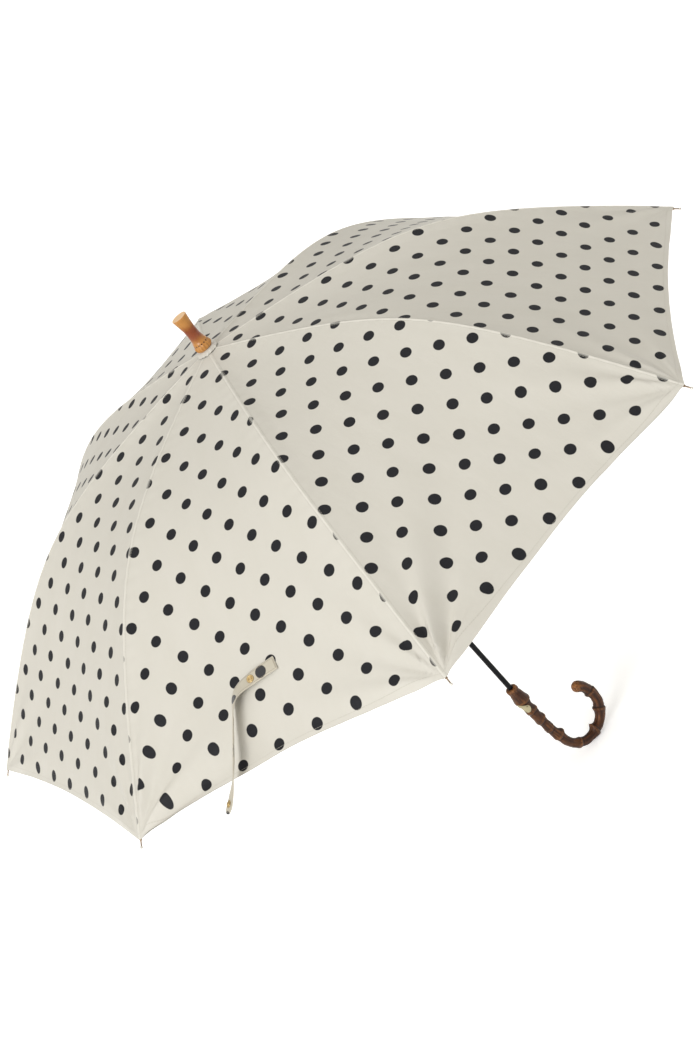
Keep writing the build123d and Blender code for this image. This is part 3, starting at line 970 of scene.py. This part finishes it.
PLATE_TIP = (0.0232, radians(166), 0.0007)  # along the handle, round it, and its half width
PLATE_END = (0.0350, radians(129), 0.0062)
PLATE_THICKNESS = 0.0009
NAIL_PLACE = (0.0318, radians(112))
# Radius and height, in mm
NAIL_FORM = [(0.9, -0.6), (0.9, 0.1), (0.8, 0.32), (0.5, 0.48), (0.2, 0.53)]
ROUND_SKIN = 0.0092  # handle radius under the plate


def build_plate():
    """Teardrop plate bent round the handle, with a rolled edge."""
    form = handle_form
    tip = Vector((PLATE_TIP[0], PLATE_TIP[1] * ROUND_SKIN))
    end = Vector((PLATE_END[0], PLATE_END[1] * ROUND_SKIN))
    axis = (end - tip).normalized()
    across = Vector((-axis.y, axis.x))
    length = (end - tip).length
    lean = atan2(PLATE_END[2] - PLATE_TIP[2], length)
    quarter = pi / 2 + lean
    arcs = [(end, PLATE_END[2], -quarter + 2 * quarter * i / 23) for i in range(24)]
    arcs += [(tip, PLATE_TIP[2], quarter + 2 * (pi - quarter) * i / 6) for i in range(7)]
    outline = [hub + (axis * cos(turn) + across * sin(turn)) * r for hub, r, turn in arcs]
    full = []
    for a, b in zip(outline, outline[1:] + outline[:1]):
        pieces = max(1, ceil((b - a).length / 0.0012))
        full += [a.lerp(b, i / pieces) for i in range(pieces)]
    heart = tip.lerp(end, 0.72)
    top = PLATE_THICKNESS
    profile = [(1.0, -0.0004), (1.0, top - 0.00028), (0.985, top - 0.000084)]
    profile += [(share, top) for share in (0.96, 0.85, 0.65, 0.45, 0.25, 0.08)]
    rings = []
    for share, lift in profile:
        places = [heart + (point - heart) * share for point in full]
        rings.append([plate_point(form, p.x, p.y / ROUND_SKIN, lift) for p in places])
    return closed_tube("handle_plate_formed", rings, [materials["plate"]], {})


def plate_point(form, distance, angle, lift):
    """Point over the handle where a sheet bends round it, bridging its small hollows."""
    point, out = form.ray(distance, angle)
    around = [(d, a) for d in (-0.003, 0, 0.003) for a in (-0.3, 0, 0.3)]
    skin = [form.radius(distance + d, angle + a) for d, a in around]
    level = 0.5 * max(skin) + 0.5 * sum(skin) / len(skin)
    return point + out * (level + lift)


def build_nail():
    """Domed head of the small nail in the plate."""
    form = handle_form
    distance, angle = NAIL_PLACE
    base = plate_point(form, distance, angle, PLATE_THICKNESS)
    axis = (base - form.frame_at(distance)[0]).normalized()
    rings = disc_rings(base, axis, NAIL_FORM, 20)
    return closed_tube("handle_nail", rings, [materials["nail"]], {})


add_piece(build_plate(), "stick", ["handle_plate"])
add_piece(build_nail(), "stick", [])


# ---- rib tips

TIP_FORM = [  # radius, distance along the tip, in mm
    (1.35, -0.5), (1.5, 0.2), (1.5, 2.4), (1.3, 2.9), (0.85, 3.3), (0.78, 6.0), (0.78, 8.6),
    (0.95, 9.0), (1.25, 9.4), (1.5, 10.0), (1.55, 10.6), (1.45, 11.2), (1.15, 11.7), (0.6, 12.0),
]
TIP_LENGTH = 12.0


def build_tip(k):
    """Turned metal tip: a collar over the rib's end, a pin and a small ball."""
    low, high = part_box(f"rib_tip_{k}")
    azimuth = rib_azimuth(k)
    outward = Vector((cos(azimuth), sin(azimuth), 0))
    middle = (Vector(low) + Vector(high)) / 2
    axis = (outward - Vector((0, 0, dome_gradient(1)))).normalized()
    start = middle - axis * (TIP_LENGTH * MM / 2)
    rings = disc_rings(start, axis, TIP_FORM, 24)
    obj = closed_tube(
        f"tip_turned_{k}",
        rings,
        [materials["tip"]],
        {"grain": lambda i, j: (j / 24, TIP_FORM[i][1] / TIP_LENGTH)},
    )
    add_piece(obj, f"rib_outer_{k}", [f"rib_tip_{k}"])


for number in range(1, RIB_COUNT + 1):
    build_tip(number)


# ---- ferrule and rosette

FERRULE_BASE, FERRULE_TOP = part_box("ferrule")[0][2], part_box("ferrule")[1][2]
FERRULE_FORM = [  # height above its base, radius, in mm
    (0, 8.6), (1.2, 9.9), (3.0, 10.6), (5.5, 10.7), (7.4, 10.2), (8.6, 9.7), (9.6, 9.75),
    (10.6, 9.5), (13, 8.7), (18, 7.8), (24, 7.25), (31, 7.5), (38, 8.3), (44, 9.2), (47.6, 9.75),
    (48.4, 9.8), (49.0, 9.55),
]
FERRULE_POINTS = 64
ROSETTE_INNER = 0.0078
ROSETTE_BAND = 0.0064
ROSETTE_POINTS = 144


def build_ferrule():
    """Turned bamboo with a root node and its ring of scars at the base, and a cut top face."""
    heights = [h * MM for h, _ in FERRULE_FORM]
    radii = [r * MM for _, r in FERRULE_FORM]
    levels = sorted(set(list(np.linspace(0, heights[-1], 90)) + heights))
    rings, facts = [], []
    for level in levels:
        radius = float(np.interp(level, heights, radii))
        lean = 0.0006 * level / heights[-1]
        ring = []
        for angle in turns(FERRULE_POINTS):
            base = exp(-(((level - 0.0045) / 0.004) ** 2))
            knobs = 0.0007 * base * cos(SCAR_COUNT * angle)
            place = Vector((cos(angle), sin(angle), level * 60))
            rough = 0.00022 * noise.noise(place * 1.8) + 0.00008 * noise.noise(place * 7)
            row = exp(-(((level - SCAR_HEIGHT) / 0.0006) ** 2))
            scar = 0.0005 * row * max(0, cos(SCAR_COUNT * angle)) ** 3
            size = radius + knobs + rough - scar
            flat = (size * cos(angle) + lean, size * sin(angle))
            ring.append(Vector((*flat, FERRULE_BASE + level)))
        rings.append(ring)
        facts.append(level)
    last = rings[-1]
    for share, drop in ((0.94, 0.0), (0.8, 0.0001), (0.6, 0.0002), (0.35, 0.0002), (0.12, 0.0003)):
        top = FERRULE_TOP - drop
        rings.append([Vector((lean + (p.x - lean) * share, p.y * share, top)) for p in last])
        facts.append(0.0496)
    return closed_tube(
        "ferrule_bamboo",
        rings,
        [materials["ferrule"]],
        {"grain": lambda i, j: (j / FERRULE_POINTS, facts[i])},
    )


add_piece(build_ferrule(), "stick", ["ferrule"])


def build_rosette():
    """Ruffled round of canopy cloth between the ferrule and the canopy."""
    rows = 15
    facts = [i / rows for i in range(rows + 1)]
    facts += facts[::-1]

    def point(t, angle, drop):
        radius = ROSETTE_INNER + ROSETTE_BAND * t
        wave = 1 + 0.025 * t * sin(11 * angle + 0.6)
        ripple = 0.00035 * sin(18 * angle) * t * t + 0.0003 * sin(7 * angle + 1) * t
        z = APEX_Z + 0.0022 - 0.0040 * t ** 1.5 + ripple - drop
        return Vector((radius * wave * cos(angle), radius * wave * sin(angle), z))

    def flat_place(i, j):
        radius = ROSETTE_INNER + ROSETTE_BAND * facts[i]
        angle = 2 * pi * j / ROSETTE_POINTS
        return radius * cos(angle), radius * sin(angle)

    rings = []
    for i, t in enumerate(facts):
        drop = 0.0 if i <= rows else 0.0005
        rings.append([point(t, angle, drop) for angle in turns(ROSETTE_POINTS)])
    return closed_tube(
        "canopy_rosette_cloth", rings, [materials["plain"]], {"cloth": flat_place}, looped=True
    )


rosette = build_rosette()
add_piece(rosette, "stick", ["canopy_rosette"])


# ---- tie strap

STRAP_WIDTH = 0.015
# Centre, width direction, in mm: flat on the cloth at the sewn end, then on edge as it hangs
STRAP_ROUTE = [
    ((-275.2, -317.0, 435.8), (-0.18, -0.82, -0.55)),
    ((-288.3, -306.5, 435.4), (-0.18, -0.82, -0.55)),
    ((-301.0, -296.5, 434.6), (-0.20, -0.84, -0.50)),
    ((-312.3, -290.2, 434.4), (-0.24, -0.92, -0.30)),
    ((-322.3, -287.6, 432.8), (-0.27, -0.96, -0.08)),
    ((-332.8, -289.2, 427.8), (-0.28, -0.93, 0.22)),
    ((-342.9, -293.1, 420.3), (-0.28, -0.89, 0.36)),
    ((-356.3, -297.2, 409.4), (-0.28, -0.87, 0.41)),
    ((-370.1, -301.3, 398.0), (-0.28, -0.87, 0.41)),
    ((-386.3, -306.4, 385.2), (-0.27, -0.87, 0.42)),
    ((-403.9, -310.7, 373.5), (-0.10, -0.96, 0.20)),
    ((-422.3, -314.2, 363.3), (0.06, -0.98, 0.06)),
]
STRAP_DOT = DOT_START - 0.0195  # puts a printed dot between the seam and the snap
STRAP_STEPS = 96
STRAP_COLUMNS = 12


def strap_frame(t):
    """Centre, width direction and face normal of the strap."""
    centres = [Vector(c) * MM for c, _ in STRAP_ROUTE]
    widths = [Vector(w) for _, w in STRAP_ROUTE]
    centre = curve_at(centres, t)
    along = (curve_at(centres, t + 0.01) - curve_at(centres, t - 0.01)).normalized()
    width = curve_at(widths, t)
    width = (width - along * width.dot(along)).normalized()
    return centre, width, width.cross(along).normalized()


def build_strap():
    """Doubled, edge-stitched ribbon of the canopy's cloth, with a rounded free end."""
    middles = [strap_frame(i / 60)[0] for i in range(61)]
    length = sum((b - a).length for a, b in zip(middles, middles[1:]))
    round_end = STRAP_WIDTH / 2
    section = [(c / STRAP_COLUMNS * 2 - 1, 1) for c in range(STRAP_COLUMNS + 1)]
    section += [(-across, -1) for across, _ in section]
    rings, facts = [], []
    for i in range(STRAP_STEPS + 1):
        t = 1 - (1 - i / STRAP_STEPS) ** 1.25
        centre, width, normal = strap_frame(t)
        to_end = (1 - t) * length
        share = 1.0
        if to_end < round_end:
            share = max(sqrt(max(0, 1 - (1 - to_end / round_end) ** 2)), 0.10)
        ring, fact = [], []
        for across, face in section:
            off = abs(across)
            hem = 0.35 * exp(-(((off - 0.88) / 0.06) ** 2))
            stitched = 0.3 * exp(-(((off - 0.76) / 0.04) ** 2))
            half = 0.00048 * (1 - 0.55 * smooth(0.9, 1.0, off)) * (1 + hem - stitched)
            ripple = 0.00035 * noise.noise(Vector((t * 22, across * 1.3, 4.1)))
            offset = across * STRAP_WIDTH / 2 * share
            bow = 0.0006 * across * across * smooth(0.1, 0.4, t)
            ring.append(centre + width * offset + normal * (face * half + ripple + bow))
            edge = min((1 - off) * STRAP_WIDTH / 2 * share, to_end, t * length)
            printed = (offset, t * length + STRAP_DOT)
            fact.append((printed, (edge, t * length)))
        rings.append(ring)
        facts.append(fact)
    count = len(section)
    uv_maps = {
        "cloth": lambda i, j: facts[i][j % count][0],
        "edges": lambda i, j: facts[i][j % count][1],
    }
    return closed_tube("strap_ribbon", rings, [materials["strap"]], uv_maps), length


strap, strap_length = build_strap()
add_piece(strap, "strap", ["strap"])


SOCKET_PROFILE = [  # radius, height above the cloth, in mm
    (3.9, -0.2), (4.3, 0.1), (4.4, 0.5), (4.2, 0.95), (3.8, 1.15), (3.2, 1.1), (2.7, 0.75),
    (2.3, 0.7), (2.1, 1.0), (1.9, 1.35), (1.6, 1.4), (1.35, 1.15), (1.25, 0.25), (0.4, 0.2),
]
STUD_PROFILE = [
    (3.6, -0.2), (4.0, 0.1), (4.05, 0.45), (3.8, 0.8), (3.2, 0.9), (2.2, 0.85), (1.9, 1.0),
    (1.85, 1.35), (1.95, 1.7), (1.7, 1.95), (0.9, 2.05), (0.3, 2.05),
]


def build_snap_half(name, t, profile):
    """One half of the snap, on the strap's outer face."""
    centre, _, normal = strap_frame(t)
    axis = -normal
    rings = disc_rings(centre + axis * 0.0005, axis, profile, 40)
    return closed_tube(name, rings, [materials["gold"]], {})


SOCKET_AT = 0.188  # shares of the strap's length from its sewn end
STUD_AT = 0.955

socket = build_snap_half("snap_socket", SOCKET_AT, SOCKET_PROFILE)
stud = build_snap_half("snap_stud", STUD_AT, STUD_PROFILE)
add_piece(socket, "strap", ["strap_snap"])
add_piece(stud, "strap", [])
for piece in (strap, socket, stud):
    fold_with_gore(piece)


# ---- floor, light and camera

FLOOR_Z = cad_bounds[0][2] - 0.002
FLOOR_SIZE = 24.0
SQUARE = [(-1, -1), (1, -1), (1, 1), (-1, 1)]
WORLD_STRENGTH = 0.46
LIGHTS = [  # name, direction towards it, strength, spread in degrees, colour
    ("key", (-0.80, -0.42, 0.42), 1.78, 30, (0.97, 0.98, 1.0)),
    ("top", (-0.05, -0.05, 1.0), 1.02, 80, (1.0, 0.99, 0.975)),
    ("fill", (0.70, -0.30, 0.45), 0.35, 80, (1.0, 0.99, 0.965)),
]


def build_floor():
    """Wide pale floor under the crook."""
    corners = [(x * FLOOR_SIZE / 2, y * FLOOR_SIZE / 2, FLOOR_Z) for x, y in SQUARE]
    new_object("floor", corners, [(0, 1, 2, 3)], [materials["floor"]])


def add_light(name, toward, strength, spread, color):
    """Even, soft studio light shining from a direction."""
    data = bpy.data.lights.new(name, "SUN")
    data.energy = strength
    data.angle = radians(spread)
    data.color = color
    light = bpy.data.objects.new(name, data)
    light.location = Vector(toward) * 3
    light.rotation_euler = (-Vector(toward)).to_track_quat("-Z", "Y").to_euler()
    bpy.context.scene.collection.objects.link(light)


def set_world():
    """Even white surroundings, with a pale backdrop where the camera sees past the floor."""
    world = bpy.data.worlds.new("studio")
    world.use_nodes = True
    nodes = world.node_tree.nodes
    links = world.node_tree.links
    lighting = nodes["Background"]
    lighting.inputs["Color"].default_value = (1, 0.985, 0.95, 1)
    lighting.inputs["Strength"].default_value = WORLD_STRENGTH
    backdrop = nodes.new("ShaderNodeBackground")
    backdrop.inputs["Color"].default_value = (0.93, 0.93, 0.93, 1)
    path = nodes.new("ShaderNodeLightPath")
    choice = nodes.new("ShaderNodeMixShader")
    links.new(path.outputs["Is Camera Ray"], choice.inputs[0])
    links.new(lighting.outputs[0], choice.inputs[1])
    links.new(backdrop.outputs[0], choice.inputs[2])
    links.new(choice.outputs[0], nodes["World Output"].inputs["Surface"])
    bpy.context.scene.world = world


CAMERA_PLACE = Vector((-0.73765, -2.25102, 1.38351))
CAMERA_RIGHT = Vector((0.623738, -0.488186, -0.610431))
CAMERA_UP = Vector((0.729985, 0.084649, 0.678201))
LENS = 72.9  # mm, on a 36 mm sensor


def add_camera():
    """Camera above the canopy's side, rolled as in the photograph."""
    data = bpy.data.cameras.new("camera")
    data.lens = LENS
    data.sensor_width = 36
    camera = bpy.data.objects.new("camera", data)
    right = CAMERA_RIGHT.normalized()
    back = right.cross(CAMERA_UP).normalized()
    up = back.cross(right)
    turn = Matrix((right, up, back)).transposed().to_4x4()
    camera.matrix_world = Matrix.Translation(CAMERA_PLACE) @ turn
    bpy.context.scene.collection.objects.link(camera)
    bpy.context.scene.camera = camera


build_floor()
set_world()
for light_facts in LIGHTS:
    add_light(*light_facts)
add_camera()
bpy.context.scene.view_settings.view_transform = "Standard"
